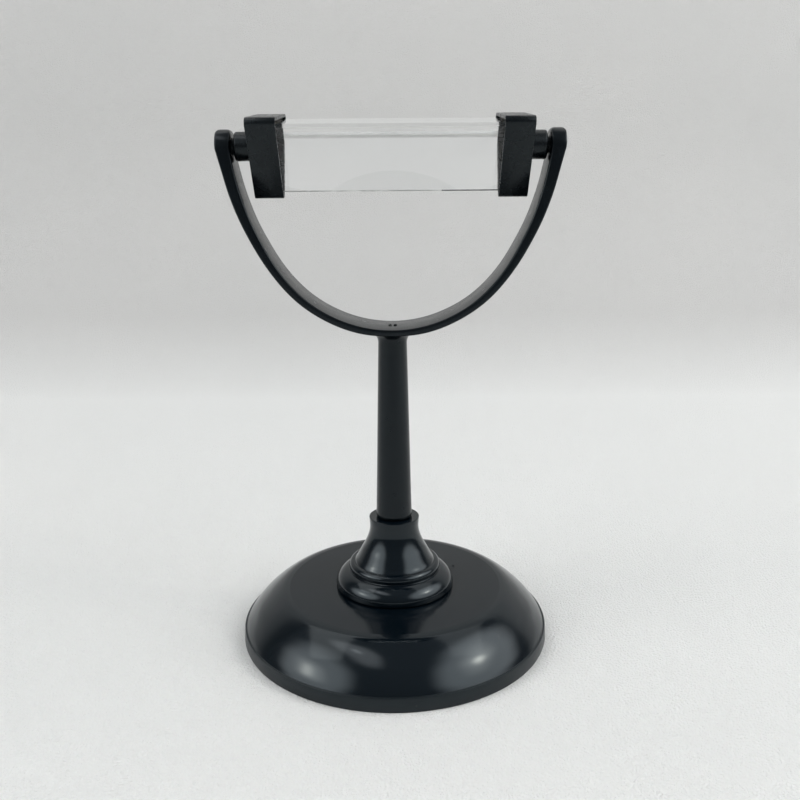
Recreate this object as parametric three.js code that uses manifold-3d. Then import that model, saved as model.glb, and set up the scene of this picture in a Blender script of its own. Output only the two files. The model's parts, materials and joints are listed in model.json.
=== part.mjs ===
// Triangular glass prism on a turned black base: the prism tilts in a yoke, the yoke swivels in a collar.
// Millimetres, +Z up, X along the prism, -Y towards the viewer, origin on the floor under the stem.
import * as THREE from 'three';
import { mergeVertices } from 'three/addons/utils/BufferGeometryUtils.js';
import Module from 'manifold-3d';

const wasm = await Module();
wasm.setup();

// ---- driving dimensions -------------------------------------------------------------------
const GAP = 0.3;                 // clearance between a piece and the one it rests on or runs in

const BASE_R = 50;               // round base, 100 mm across
const RIM_H = 4.5;               // upright band round the foot of the base, with a little draft
const RIM_TOP_R = 49.8;
const TABLE_R = 34.7;            // flat top of the base
const TABLE_Z = 16.3;
const SHELL_T = 2.2;             // wall of the hollow base
const TABLE_HOLE_R = 7.7;

const COLLAR_R = 8.1;            // top ring of the collar
const COLLAR_Z = 40;
const COLLAR_FOOT_R = 19.3;
const COLLAR_FOOT_Z = TABLE_Z + 0.25;
const COLLAR_TAIL_R = 7.4;
const COLLAR_TAIL_Z = 12.6;
const SOCKET_R = 5.05;           // bore the stem stands in
const SOCKET_Z = 18.7;

const STEM_FOOT_Z = 40.15;       // the round foot stands just clear of the collar
const STEM_FOOT_R = 5.8;
const STEM_TOP_Z = 97.4;         // the fillet under the yoke starts here
const STEM_TOP_R = 4.46;
const SPIGOT_R = 4.75;
const SPIGOT_Z = 19.0;

const YOKE_BOTTOM_Z = 100.8;     // underside of the yoke at the stem
const YOKE_INNER_Z = 102.7;
const EAR_TOP_Z = 161.0;
const EAR_R = 5.6;               // round end of the ear, seen from the side
const EAR_IN_X = 46.4;
const EAR_OUT_X = 50.8;

const PIVOT_Z = 156.15;          // tilt axis of the prism
const PIN_R = 2.25;
const PIN_END_X = 50.5;
const HUB_R = 4.2;
const HUB_END_X = 45.6;

const TILT = THREE.MathUtils.degToRad(4.5);   // the prism is left tipped back by this much
const HOLDER_SIDE = 29.25;       // outer triangle, corner to corner before rounding
const HOLDER_RISE = 0.2;         // centre of the triangle above the tilt axis
const HOLDER_CORNER_R = 1.7;
const HOLDER_T = 0.95;
const HOLDER_IN_X = 31.9;
const HOLDER_OUT_X = 40.55;
const HOLDER_END_T = 1.25;

const GLASS_SIDE = 24.4;
const GLASS_BEVEL = 1.15;
const GLASS_TURN = THREE.MathUtils.degToRad(1.3); // it sits a little tipped in the holders
const GLASS_DROP = 0.2;          // its centre below the centre of the holders
const GLASS_END_X = HOLDER_OUT_X - HOLDER_END_T - GAP;
const PACKING_T = 0.25;          // strip of packing between the glass and the holder's flat side

const BALLAST_IN_R = 20;
const BALLAST_OUT_R = 38;
const BALLAST_Z = 5.0;
const BALLAST_T = 4.1;
const BOSS_CIRCLE_R = 29;
const BOSS_R = 3.4;
const COLLAR_SCREW_CIRCLE_R = 14;

// ---- helpers ------------------------------------------------------------------------------
const FINISHES = {
  base: { color: 0x101113, roughness: 0.16, metalness: 0 },
  collar: { color: 0x0e0f11, roughness: 0.1, metalness: 0 },
  satin: { color: 0x1a1c1e, roughness: 0.5, metalness: 0 },
  matte: { color: 0x1b1d1e, roughness: 0.68, metalness: 0 },
  glass: { color: 0xe6ecea, roughness: 0.02, metalness: 0 },
  packing: { color: 0x4a4238, roughness: 0.95, metalness: 0 },
  steel: { color: 0x8d9094, roughness: 0.4, metalness: 0.9 },
  zinc: { color: 0xb9bcc0, roughness: 0.3, metalness: 0.9 },
};

function toSolid(geometry) {
  const plain = geometry.clone();
  plain.deleteAttribute('normal');
  plain.deleteAttribute('uv');
  const welded = mergeVertices(plain, 1e-4);
  const triVerts = Uint32Array.from(welded.index.array);
  const vertProperties = Float32Array.from(welded.attributes.position.array);
  return new wasm.Manifold(new wasm.Mesh({ numProp: 3, vertProperties, triVerts }));
}

function toGeometry(solid) {
  const mesh = solid.getMesh();
  const geometry = new THREE.BufferGeometry();
  geometry.setAttribute('position', new THREE.BufferAttribute(Float32Array.from(mesh.vertProperties), 3));
  geometry.setIndex(new THREE.BufferAttribute(Uint32Array.from(mesh.triVerts), 1));
  const flat = geometry.toNonIndexed();
  flat.computeVertexNormals();
  return flat;
}

// Turns an (r, z) outline about the vertical axis; the outline runs bottom to top on the outside.
function turned(outline, segments) {
  const points = outline.map(([r, z]) => new THREE.Vector2(r, z));
  const geometry = new THREE.LatheGeometry(points, segments);
  geometry.rotateX(Math.PI / 2);
  const solid = toSolid(geometry);
  return solid.volume() > 0 ? solid : toSolid(flipped(geometry));
}

function flipped(geometry) {
  const copy = geometry.clone();
  const index = Array.from(copy.index.array);
  for (let i = 0; i < index.length; i += 3) {
    [index[i + 1], index[i + 2]] = [index[i + 2], index[i + 1]];
  }
  copy.setIndex(index);
  return copy;
}

// Plain round bar standing on z0, or a ring when innerR is given.
function bar(radius, z0, z1, segments = 48) {
  return turned([[0, z0], [radius, z0], [radius, z1], [0, z1]], segments);
}

function ring(innerR, outerR, z0, z1, segments = 72) {
  const outline = [[innerR, z0], [outerR, z0], [outerR, z1], [innerR, z1], [innerR, z0]];
  return turned(outline, segments);
}

// Round bar along X about the tilt axis.
function crossBar(radius, x0, x1, edge = 0, segments = 40) {
  const outline = [
    [0, 0],
    [radius - edge, 0],
    [radius, edge],
    [radius, x1 - x0 - edge],
    [radius - edge, x1 - x0],
    [0, x1 - x0],
  ];
  const straight = [[0, 0], [radius, 0], [radius, x1 - x0], [0, x1 - x0]];
  return turned(edge > 0 ? outline : straight, segments)
    .rotate([0, 90, 0])
    .translate([x0, 0, PIVOT_Z]);
}

// Smooth list of points through the given knots.
function smooth(knots, count) {
  const curve = new THREE.SplineCurve(knots.map(([a, b]) => new THREE.Vector2(a, b)));
  return curve.getPoints(count).map((p) => [p.x, p.y]);
}

// Extrudes an outline drawn in (y, z) along X from x0 to x1.
function extrudedAlongX(shape, x0, x1) {
  const geometry = new THREE.ExtrudeGeometry(shape, { depth: x1 - x0, bevelEnabled: false, curveSegments: 6 });
  const basis = new THREE.Matrix4();
  basis.makeBasis(new THREE.Vector3(0, 1, 0), new THREE.Vector3(0, 0, 1), new THREE.Vector3(1, 0, 0));
  geometry.applyMatrix4(basis);
  return toSolid(geometry).translate([x0, 0, 0]);
}

// Extrudes an outline drawn in (x, z) along Y, centred on y = 0.
function extrudedAlongY(shape, width) {
  const geometry = new THREE.ExtrudeGeometry(shape, { depth: width, bevelEnabled: false, curveSegments: 6 });
  geometry.rotateX(Math.PI / 2);
  return toSolid(geometry).translate([0, width / 2, 0]);
}

function atAngles(circleR, firstDeg, make) {
  return [0, 1, 2].map((i) => {
    const a = THREE.MathUtils.degToRad(firstDeg + 120 * i);
    return make(circleR * Math.cos(a), circleR * Math.sin(a), i + 1);
  });
}

const nodes = [];

function addNode(name, solid, finish) {
  const mesh = new THREE.Mesh(toGeometry(solid), new THREE.MeshStandardMaterial(FINISHES[finish]));
  mesh.name = name;
  nodes.push(mesh);
}

// ---- base ---------------------------------------------------------------------------------
function baseOuter() {
  const shoulder = smooth([
    [49.1, 4.7], [48.55, 5.6], [46.85, 7.9], [45, 10.05], [42.8, 12.1], [40.4, 14],
    [39.1, 14.85], [37.8, 15.55], [36.4, 16.05], [TABLE_R, TABLE_Z],
  ], 14);
  return [
    [BASE_R - 0.4, 0], [BASE_R, 0.4], [RIM_TOP_R, RIM_H - 0.35], [RIM_TOP_R - 0.35, RIM_H], ...shoulder,
  ];
}

function baseInner() {
  return [
    [TABLE_R - 1, TABLE_Z - SHELL_T], [37.2, 13.6], [38.9, 12.4], [41.1, 10.7], [43.2, 8.8],
    [45.2, 6.6], [46.6, 4.9], [46.9, 4], [46.9, 0],
  ];
}

function baseShell() {
  const outline = [
    ...baseOuter(),
    [TABLE_HOLE_R, TABLE_Z],
    [TABLE_HOLE_R, TABLE_Z - SHELL_T],
    ...baseInner(),
    [BASE_R - 0.4, 0],
  ];
  let shell = turned(outline, 80);
  atAngles(BOSS_CIRCLE_R, 90, (x, y) => {
    const top = TABLE_Z - SHELL_T + 0.6;
    const bottom = BALLAST_Z + BALLAST_T + GAP;
    shell = shell.add(bar(BOSS_R, bottom, top, 32).translate([x, y, 0]));
    shell = shell.subtract(bar(1.5, bottom - 1, TABLE_Z - SHELL_T - 1.2, 24).translate([x, y, 0]));
  });
  atAngles(COLLAR_SCREW_CIRCLE_R, 30, (x, y) => {
    shell = shell.subtract(bar(1.7, TABLE_Z - SHELL_T - 1, TABLE_Z + 1, 24).translate([x, y, 0]));
  });
  return shell;
}

function ballastRing() {
  const edge = 0.5;
  const top = BALLAST_Z + BALLAST_T;
  const outline = [
    [BALLAST_IN_R, BALLAST_Z], [BALLAST_OUT_R - edge, BALLAST_Z], [BALLAST_OUT_R, BALLAST_Z + edge],
    [BALLAST_OUT_R, top - edge], [BALLAST_OUT_R - edge, top], [BALLAST_IN_R, top], [BALLAST_IN_R, BALLAST_Z],
  ];
  let weight = turned(outline, 64);
  atAngles(BOSS_CIRCLE_R, 90, (x, y) => {
    weight = weight.subtract(bar(1.9, BALLAST_Z - 1, top + 1, 24).translate([x, y, 0]));
  });
  return weight;
}

// Pan-head screw driven upwards: the head sits below seatZ and carries a cross slot.
function screw(headR, headT, shankR, seatZ, tipZ) {
  const headZ = seatZ - headT;
  const outline = [
    [0, headZ], [headR - 0.7, headZ], [headR, headZ + 0.7], [headR, seatZ],
    [shankR, seatZ], [shankR, tipZ - 1.2], [0.4, tipZ], [0, tipZ],
  ];
  let body = turned(outline, 28);
  const half = headR * 0.55;
  const slot = new THREE.Shape([
    new THREE.Vector2(-half, headZ - 1), new THREE.Vector2(half, headZ - 1),
    new THREE.Vector2(half, headZ + 0.9), new THREE.Vector2(-half, headZ + 0.9),
  ]);
  const cut = extrudedAlongY(slot, 0.7);
  body = body.subtract(cut).subtract(cut.rotate([0, 0, 90]));
  return body;
}

// ---- collar -------------------------------------------------------------------------------
function collarOuter() {
  const foot = smooth([
    [COLLAR_FOOT_R, 17.3], [19.05, 18.6], [18.35, 19.9], [17.25, 21], [16, 21.75], [15.05, 22.1],
  ], 7);
  const bead = smooth([[14.75, 22.25], [14.9, 22.8], [14.9, 23.4], [14.6, 24.2], [13.95, 24.72], [13.3, 24.8]], 6);
  const bell = smooth([
    [12.95, 25.1], [12.3, 26.05], [11.75, 27], [10.65, 29], [9.55, 31], [8.65, 33.1], [8.1, 35],
    [7.92, 36.8], [8.02, 38.5], [COLLAR_R, COLLAR_Z - 0.2],
  ], 13);
  return [[COLLAR_FOOT_R - 0.15, COLLAR_FOOT_Z], ...foot, ...bead, ...bell, [COLLAR_R - 0.2, COLLAR_Z]];
}

function collar() {
  const outline = [
    [2.3, COLLAR_TAIL_Z], [COLLAR_TAIL_R, COLLAR_TAIL_Z], [COLLAR_TAIL_R, COLLAR_FOOT_Z],
    ...collarOuter(),
    [SOCKET_R + 0.1, COLLAR_Z], [SOCKET_R, COLLAR_Z - 0.1],
    [SOCKET_R, SOCKET_Z], [2.3, SOCKET_Z], [2.3, COLLAR_TAIL_Z],
  ];
  let body = turned(outline, 52);
  atAngles(COLLAR_SCREW_CIRCLE_R, 30, (x, y) => {
    body = body.subtract(bar(1.3, COLLAR_FOOT_Z - 1, 20.6, 20).translate([x, y, 0]));
  });
  return body;
}

// ---- stem and yoke, one moulding ----------------------------------------------------------
function stem() {
  const outline = [
    [0, SPIGOT_Z], [SPIGOT_R - 0.5, SPIGOT_Z], [SPIGOT_R, SPIGOT_Z + 0.5],
    [SPIGOT_R, STEM_FOOT_Z], [STEM_FOOT_R - 0.6, STEM_FOOT_Z], [STEM_FOOT_R - 0.2, STEM_FOOT_Z + 0.25],
    [STEM_FOOT_R - 0.03, STEM_FOOT_Z + 0.7], [STEM_FOOT_R, STEM_FOOT_Z + 1.2], [5.68, 43.2],
    [STEM_TOP_R, STEM_TOP_Z], [4.53, 98.2], [4.73, 98.9], [5.1, 99.6], [5.7, 100.3], [6.5, 100.9], [7.2, 101.4],
    [0, 101.4],
  ];
  const pilot = bar(1.75, SPIGOT_Z - 1, 31, 24);
  return turned(outline, 48).subtract(pilot);
}

function yokeOutline() {
  const outerHalf = smooth([
    [0, YOKE_BOTTOM_Z], [7.86, 101.26], [14.5, 103.05], [18.8, 104.94], [22.2, 106.78], [27.35, 110.35],
    [36.78, 121.03], [41.18, 128.39], [44.46, 135.02], [46.58, 140.53], [48.18, 145.62], [49.26, 150.34],
    [50.33, 153.66], [EAR_OUT_X, 156.6],
  ], 34);
  const innerHalf = smooth([
    [0, YOKE_INNER_Z], [7.97, 103.5], [17.11, 106.59], [23.44, 110.27], [33.64, 120.94], [37.85, 128.28],
    [41.08, 134.95], [43.02, 140.45], [44.55, 145.55], [45.52, 150.38], [46.19, 152.99], [EAR_IN_X, 155],
  ], 32);
  const right = [
    ...outerHalf, [EAR_OUT_X, EAR_TOP_Z - 1.5], [50.45, EAR_TOP_Z - 0.55], [49.6, EAR_TOP_Z],
    [47.7, EAR_TOP_Z], [46.8, EAR_TOP_Z - 0.55], [EAR_IN_X, EAR_TOP_Z - 1.5], ...innerHalf.slice().reverse(),
  ];
  const left = right.slice(1, -1).reverse().map(([x, z]) => [-x, z]);
  return new THREE.Shape([...right, ...left].map(([x, z]) => new THREE.Vector2(x, z)));
}

// Width of the strap front to back: broad where it crosses the stem, narrower with round ends at the ears.
function yokeSideShape() {
  const side = [[8.65, 100], [8.65, 105], [8.35, 111], [7.7, 121], [7, 132], [6.3, 145]];
  const earZ = EAR_TOP_Z - EAR_R;
  const shape = new THREE.Shape();
  shape.moveTo(-8.65, 100);
  side.forEach(([y, z]) => shape.lineTo(y, z));
  for (let deg = 0; deg <= 180; deg += 9) {
    const a = THREE.MathUtils.degToRad(deg);
    shape.lineTo(EAR_R * Math.cos(a), earZ + EAR_R * Math.sin(a));
  }
  side.slice(1).reverse().forEach(([y, z]) => shape.lineTo(-y, z));
  return shape;
}

function stemYoke() {
  const strap = extrudedAlongY(yokeOutline(), 20).intersect(extrudedAlongX(yokeSideShape(), -60, 60));
  const pinHoles = crossBar(PIN_R + GAP, EAR_IN_X - 3, EAR_OUT_X + 3, 0, 36)
    .add(crossBar(PIN_R + GAP, -EAR_OUT_X - 3, -EAR_IN_X + 3, 0, 36));
  const gateMark = bar(0.7, YOKE_INNER_Z - 0.5, YOKE_INNER_Z + 0.22, 16).translate([0.3, 0, 0]);
  return strap.add(stem()).add(gateMark).subtract(pinHoles);
}

// ---- prism and its two holders ------------------------------------------------------------
// Equilateral triangle with one flat side up, corners rounded; drawn in (y, z) about its centre.
function triangleShape(side, cornerR) {
  const reach = side / Math.sqrt(3) - 2 * cornerR;
  const shape = new THREE.Shape();
  [30, 150, 270].forEach((deg, i) => {
    const a = THREE.MathUtils.degToRad(deg);
    const cy = reach * Math.cos(a);
    const cz = reach * Math.sin(a);
    for (let step = 0; step <= 6; step += 1) {
      const b = a + THREE.MathUtils.degToRad(-60 + step * 20);
      const y = cy + cornerR * Math.cos(b);
      const z = cz + cornerR * Math.sin(b);
      if (i === 0 && step === 0) shape.moveTo(y, z);
      else shape.lineTo(y, z);
    }
  });
  return shape;
}

// The same triangle with each corner cut off flat, for the ground edges of the glass.
function bevelledTriangleShape(side, bevel) {
  const half = side / 2;
  const inner = side / (2 * Math.sqrt(3));
  const corners = [[half, inner], [-half, inner], [0, -2 * inner]];
  const shape = new THREE.Shape();
  corners.forEach(([y, z], i) => {
    const towards = [corners[(i + 2) % 3], corners[(i + 1) % 3]];
    towards.forEach(([ty, tz], k) => {
      const py = y + (ty - y) * (bevel / side);
      const pz = z + (tz - z) * (bevel / side);
      if (i === 0 && k === 0) shape.moveTo(py, pz);
      else shape.lineTo(py, pz);
    });
  });
  return shape;
}

// Tips a piece back about the tilt axis and lifts it to the pivot.
function atPivot(solid) {
  return solid.translate([0, 0, HOLDER_RISE]).rotate([THREE.MathUtils.radToDeg(TILT), 0, 0]).translate([0, 0, PIVOT_Z]);
}

function holderInnerSide() {
  return HOLDER_SIDE - 2 * Math.sqrt(3) * HOLDER_T;
}

function holder(sign) {
  const outer = extrudedAlongX(triangleShape(HOLDER_SIDE, HOLDER_CORNER_R), HOLDER_IN_X, HOLDER_OUT_X);
  const hollow = extrudedAlongX(
    triangleShape(holderInnerSide(), 0.25),
    HOLDER_IN_X - 5,
    HOLDER_OUT_X - HOLDER_END_T,
  );
  const hub = crossBar(HUB_R, HOLDER_OUT_X - 0.5, HUB_END_X, 0.45);
  const pin = crossBar(PIN_R, HUB_END_X - 0.5, PIN_END_X, 0.3);
  const right = atPivot(outer.subtract(hollow)).add(hub).add(pin);
  return sign > 0 ? right : right.mirror([1, 0, 0]);
}

function glassPrism() {
  const bar = extrudedAlongX(bevelledTriangleShape(GLASS_SIDE, GLASS_BEVEL), -GLASS_END_X, GLASS_END_X);
  return atPivot(bar.rotate([THREE.MathUtils.radToDeg(GLASS_TURN), 0, 0]).translate([0, 0, -GLASS_DROP]));
}

function packing(sign) {
  const top = holderInnerSide() / (2 * Math.sqrt(3)) - 0.07;
  const shape = new THREE.Shape([
    new THREE.Vector2(-9, top - PACKING_T), new THREE.Vector2(9, top - PACKING_T),
    new THREE.Vector2(9, top), new THREE.Vector2(-9, top),
  ]);
  const right = atPivot(extrudedAlongX(shape, HOLDER_IN_X + 0.6, GLASS_END_X));
  return sign > 0 ? right : right.mirror([1, 0, 0]);
}

// ---- assembly -----------------------------------------------------------------------------
addNode('base_shell', baseShell(), 'base');
addNode('collar', collar(), 'collar');
addNode('ballast_ring', ballastRing(), 'steel');
atAngles(BOSS_CIRCLE_R, 90, (x, y, n) => {
  addNode(`ballast_screw_${n}`, screw(3, 1.8, 1.2, BALLAST_Z - GAP, 12.4).translate([x, y, 0]), 'zinc');
});
atAngles(COLLAR_SCREW_CIRCLE_R, 30, (x, y, n) => {
  const seat = TABLE_Z - SHELL_T - GAP;
  addNode(`collar_screw_${n}`, screw(2.6, 1.9, 1.0, seat, 20.2).translate([x, y, 0]), 'zinc');
});
addNode('stem_yoke', stemYoke(), 'satin');
addNode('stem_washer', ring(1.8, 6.6, COLLAR_TAIL_Z - GAP - 1, COLLAR_TAIL_Z - GAP, 40), 'zinc');
addNode('stem_screw', screw(3.4, 2.1, 1.45, COLLAR_TAIL_Z - 2 * GAP - 1, 30), 'zinc');
addNode('holder_left', holder(-1), 'matte');
addNode('holder_right', holder(1), 'matte');
addNode('packing_left', packing(-1), 'packing');
addNode('packing_right', packing(1), 'packing');
addNode('glass_prism', glassPrism(), 'glass');

const assembly = new THREE.Group();
assembly.name = 'prism_on_stand';
nodes.forEach((mesh) => assembly.add(mesh));

export default assembly;
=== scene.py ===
"""Looks for the glass prism on its yoke stand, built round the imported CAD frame.

Metres, +Z up, X along the prism, the front towards -Y.
"""

import json
import math

import bmesh
import bpy
from mathutils import Matrix, Vector


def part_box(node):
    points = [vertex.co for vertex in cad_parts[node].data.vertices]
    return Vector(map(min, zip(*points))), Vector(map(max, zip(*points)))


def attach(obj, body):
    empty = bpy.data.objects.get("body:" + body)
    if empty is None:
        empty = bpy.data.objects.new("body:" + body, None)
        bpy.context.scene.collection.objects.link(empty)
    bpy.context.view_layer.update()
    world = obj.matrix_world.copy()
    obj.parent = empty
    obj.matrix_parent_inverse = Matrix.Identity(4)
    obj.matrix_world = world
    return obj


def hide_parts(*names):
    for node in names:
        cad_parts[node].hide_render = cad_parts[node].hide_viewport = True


MM = 0.001

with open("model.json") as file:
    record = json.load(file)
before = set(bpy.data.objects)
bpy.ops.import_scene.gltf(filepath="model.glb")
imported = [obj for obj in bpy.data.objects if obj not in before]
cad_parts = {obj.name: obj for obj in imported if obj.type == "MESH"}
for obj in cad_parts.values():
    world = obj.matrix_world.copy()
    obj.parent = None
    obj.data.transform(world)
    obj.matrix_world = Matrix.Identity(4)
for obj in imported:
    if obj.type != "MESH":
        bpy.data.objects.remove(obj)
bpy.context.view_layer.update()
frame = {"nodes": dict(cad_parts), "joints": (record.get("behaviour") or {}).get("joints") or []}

# ---- sizes --------------------------------------------------------------------------------------------
# Millimetres. Angles are radians, or degrees where a name ends in DEG. Anchors come from the CAD boxes.
base_lo, base_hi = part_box("base_shell")
collar_lo, collar_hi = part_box("collar")
yoke_lo, yoke_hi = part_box("stem_yoke")
holder_lo, holder_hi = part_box("holder_right")
glass_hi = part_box("glass_prism")[1]
tilt_joint = next(j for j in frame["joints"] if j["name"] == "prism_tilt")

BASE_R = (base_hi.x - base_lo.x) / 2 / MM
TABLE_Z = base_hi.z / MM
TABLE_R = 34.7
SHELL_T = 2.2
TABLE_HOLE_R = 7.7
RIM_H = 4.5
RIM_TOP_R = 49.8
WALL_IN_R = 46.9

BOSS_R = 3.4
BOSS_GAP = 0.3
BOSS_SINK = 0.6
BALLAST_PILOT_R = 1.5
BALLAST_PILOT_SHORT = 1.2
BALLAST_SCREW_CIRCLE_R = 29
COLLAR_SCREW_CIRCLE_R = 14
COLLAR_SCREW_HOLE_R = 1.7
PIT_R = 0.5
PIT_DEPTH = 1.4
PIT_AT = (20.1, 11.5)

COLLAR_FOOT_Z = TABLE_Z + 0.25
COLLAR_Z = collar_hi.z / MM
COLLAR_TAIL_Z = collar_lo.z / MM
COLLAR_TAIL_R = 7.4
COLLAR_PILOT_R = 1.3
COLLAR_PILOT_TOP_Z = 20.6
SOCKET_R = 5.05
SOCKET_Z = 18.7
STEM_SCREW_HOLE_R = 2.3

STEM_FOOT_Z = COLLAR_Z + 0.15
STEM_FOOT_R = 5.8
STEM_TAPER_Z = 43.2
STEM_TAPER_STEPS = 12
STEM_TOP_Z = 97.4
STEM_TOP_R = 4.46
STEM_PILOT_R = 1.75
STEM_PILOT_TOP_Z = 31
YOKE_INNER_Z = 102.7
SPIGOT_Z = yoke_lo.z / MM
SPIGOT_R = 4.75

PIVOT_Z = tilt_joint["pos_m"][2] / MM
EAR_TOP_Z = yoke_hi.z / MM
EAR_R = 5.6
EAR_OUT_X = yoke_hi.x / MM
EAR_IN_X = 46.4
EAR_CORNER_R = 1.3
EAR_TIP_W = 0.35
EAR_FLARE = 0.1
EAR_EDGE_R = 0.5
STRAP_EDGE_R = 0.55
PIN_R = 2.25
PIN_HOLE_R = 2.55
PIN_HOLE_X = (44, 54)
HUB_R = 4.2
HUB_END_X = 45.6
PIN_END_X = holder_hi.x / MM

TILT = math.radians(4.5)
HOLDER_RISE = 0.2
HOLDER_SIDE = 29.25
HOLDER_CORNER_R = 1.7
HOLDER_INNER_CORNER_R = 0.25
HOLDER_EDGE_R = 0.24
HOLDER_EDGE_DEG = 50
HOLDER_T = 0.95
HOLDER_INNER_SIDE = HOLDER_SIDE - 2 * math.sqrt(3) * HOLDER_T
HOLDER_IN_X = holder_lo.x / MM
HOLDER_OUT_X = 40.55
HOLDER_END_T = 1.25
GLASS_SIDE = 24.4
GLASS_BEVEL = 1.15
GLASS_TURN = math.radians(1.3)
GLASS_DROP = 0.2
GLASS_END_X = glass_hi.x / MM
ARRIS_W = 0.42
ARRIS_DARK_FROM_X = 15.0
ARRIS_DARK_TO_X = 33.5

CAMERA_SENSOR = 36.0
CAMERA_LENS = 40.5
CAMERA_PITCH_DEG = 15.044
CAMERA_ROLL_DEG = 0.41
CAMERA_AT = (2.177, -274.0, 152.57)
CAMERA_CLIP = (0.01, 20)  # metres


# ---- mesh helpers -------------------------------------------------------------------------------------
SHARP_DEG = 32
COLLAR_SHARP_DEG = 28
GATE_SHARP_DEG = 25
GLASS_SHARP_DEG = 5
CURVE_STEPS = 24
BASE_SEGMENTS = 176
COLLAR_SEGMENTS = 144
STEM_SEGMENTS = 96
HUB_SEGMENTS = 64
PIN_HOLE_SEGMENTS = 48
ROD_SEGMENTS = 32
PIT_SEGMENTS = 12
CUT_PAST = 1  # how far a cutter runs past what it cuts


def tangent(chord, side, across):
    """Direction at the knot between a chord and its neighbour side; across spans the two."""
    d = chord.length
    return chord + (side / side.length - across / (side.length + d)) * d


def smooth_curve(knots, count, passes=0):
    """A curve through the knots as count + 1 even points, relaxed between its ends passes times."""
    pts = [Vector(k) for k in knots]
    spans = len(pts) - 1
    dense = []
    for k in range(spans):
        start, end = pts[k], pts[k + 1]
        before = pts[k - 1] if k else start * 2 - end
        after = pts[k + 2] if k + 2 <= spans else end * 2 - start
        leave = tangent(end - start, start - before, end - before)
        arrive = tangent(end - start, after - end, after - start)
        for step in range(CURVE_STEPS):
            t = step / CURVE_STEPS
            at_start, leaving = 2 * t**3 - 3 * t**2 + 1, t**3 - 2 * t**2 + t
            at_end, arriving = 3 * t**2 - 2 * t**3, t**3 - t**2
            dense.append(start * at_start + leave * leaving + end * at_end + arrive * arriving)
    dense.append(pts[-1])
    points = even_steps(dense, count)
    for _ in range(passes):
        inner = [(a + b * 2 + c) / 4 for a, b, c in zip(points, points[1:], points[2:])]
        points = [points[0], *inner, points[-1]]
    return [tuple(p) for p in points]


def even_steps(points, count):
    """The same path cut into count equal steps."""
    along = [0.0]
    for a, b in zip(points, points[1:]):
        along.append(along[-1] + (b - a).length)
    out, k = [], 0
    for i in range(count + 1):
        s = along[-1] * i / count
        while k < len(points) - 2 and along[k + 1] < s:
            k += 1
        part = (s - along[k]) / (along[k + 1] - along[k])
        out.append(points[k].lerp(points[k + 1], min(part, 1.0)))
    return out


def joins_smoothly(edge, limit):
    """True where two faces of one finish meet at less than the limit."""
    faces = edge.link_faces
    if len(faces) != 2 or faces[0].material_index != faces[1].material_index:
        return False
    return edge.calc_face_angle(0) < limit


def mark_sharp(bm, sharp_deg):
    limit = math.radians(sharp_deg)
    for f in bm.faces:
        f.smooth = True
    for e in bm.edges:
        e.smooth = joins_smoothly(e, limit)


def finish_mesh(bm, name, materials, sharp_deg=SHARP_DEG):
    """Turns a bmesh in millimetres into a linked object in metres, smooth except across sharp edges."""
    bmesh.ops.remove_doubles(bm, verts=bm.verts, dist=1e-5)
    bmesh.ops.recalc_face_normals(bm, faces=bm.faces)
    mark_sharp(bm, sharp_deg)
    bmesh.ops.scale(bm, vec=(MM, MM, MM), verts=bm.verts)
    mesh = bpy.data.meshes.new(name)
    bm.to_mesh(mesh)
    bm.free()
    for m in materials:
        mesh.materials.append(m)
    obj = bpy.data.objects.new(name, mesh)
    bpy.context.scene.collection.objects.link(obj)
    return obj


def revolve(bm, outline, segments, centre=(0, 0), slots=None):
    """Turns a closed (r, z) outline about the vertical through centre; slots holds each span's finish."""
    cx, cy = centre
    rings = []
    for r, z in outline:
        if r < 1e-6:
            rings.append([bm.verts.new((cx, cy, z))])
            continue
        ring = []
        for s in range(segments):
            a = 2 * math.pi * s / segments
            ring.append(bm.verts.new((cx + r * math.cos(a), cy + r * math.sin(a), z)))
        rings.append(ring)
    count = len(rings)
    for i in range(count):
        a, b = rings[i], rings[(i + 1) % count]
        if len(a) == 1 and len(b) == 1:
            continue
        for s in range(segments):
            t = (s + 1) % segments
            if len(a) == 1:
                face = bm.faces.new((a[0], b[t], b[s]))
            elif len(b) == 1:
                face = bm.faces.new((a[s], a[t], b[0]))
            else:
                face = bm.faces.new((a[s], a[t], b[t], b[s]))
            if slots:
                face.material_index = slots[i]


def skin_between(bm, a, b):
    """Quads between two rings of equal length; returns them in order."""
    n = len(a)
    return [bm.faces.new((a[s], a[(s + 1) % n], b[(s + 1) % n], b[s])) for s in range(n)]


def turned_object(name, outline, segments, materials, slots=None, sharp_deg=SHARP_DEG):
    bm = bmesh.new()
    revolve(bm, outline, segments, slots=slots)
    return finish_mesh(bm, name, materials, sharp_deg)


def combine(target, other, operation):
    """Applies an exact boolean of other to target and removes other."""
    mod = target.modifiers.new("cut", "BOOLEAN")
    mod.operation = operation
    mod.solver = "EXACT"
    mod.object = other
    apply_modifiers(target)
    bpy.data.objects.remove(other)


def apply_modifiers(obj):
    """Swaps the mesh for the one its modifiers make."""
    graph = bpy.context.evaluated_depsgraph_get()
    mesh = bpy.data.meshes.new_from_object(obj.evaluated_get(graph))
    old = obj.data
    obj.modifiers.clear()
    obj.data = mesh
    bpy.data.meshes.remove(old)


def reshade(obj, sharp_deg=SHARP_DEG):
    """Cleans up after booleans: welds, and marks sharp edges again."""
    bm = bmesh.new()
    bm.from_mesh(obj.data)
    bmesh.ops.remove_doubles(bm, verts=bm.verts, dist=2e-6)
    bmesh.ops.dissolve_degenerate(bm, edges=bm.edges, dist=1e-6)
    mark_sharp(bm, sharp_deg)
    bm.to_mesh(obj.data)
    bm.free()


def place(obj, body, slot, *nodes):
    """Puts a piece on its body in place of CAD nodes."""
    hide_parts(*nodes)
    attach(obj, body)


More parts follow.
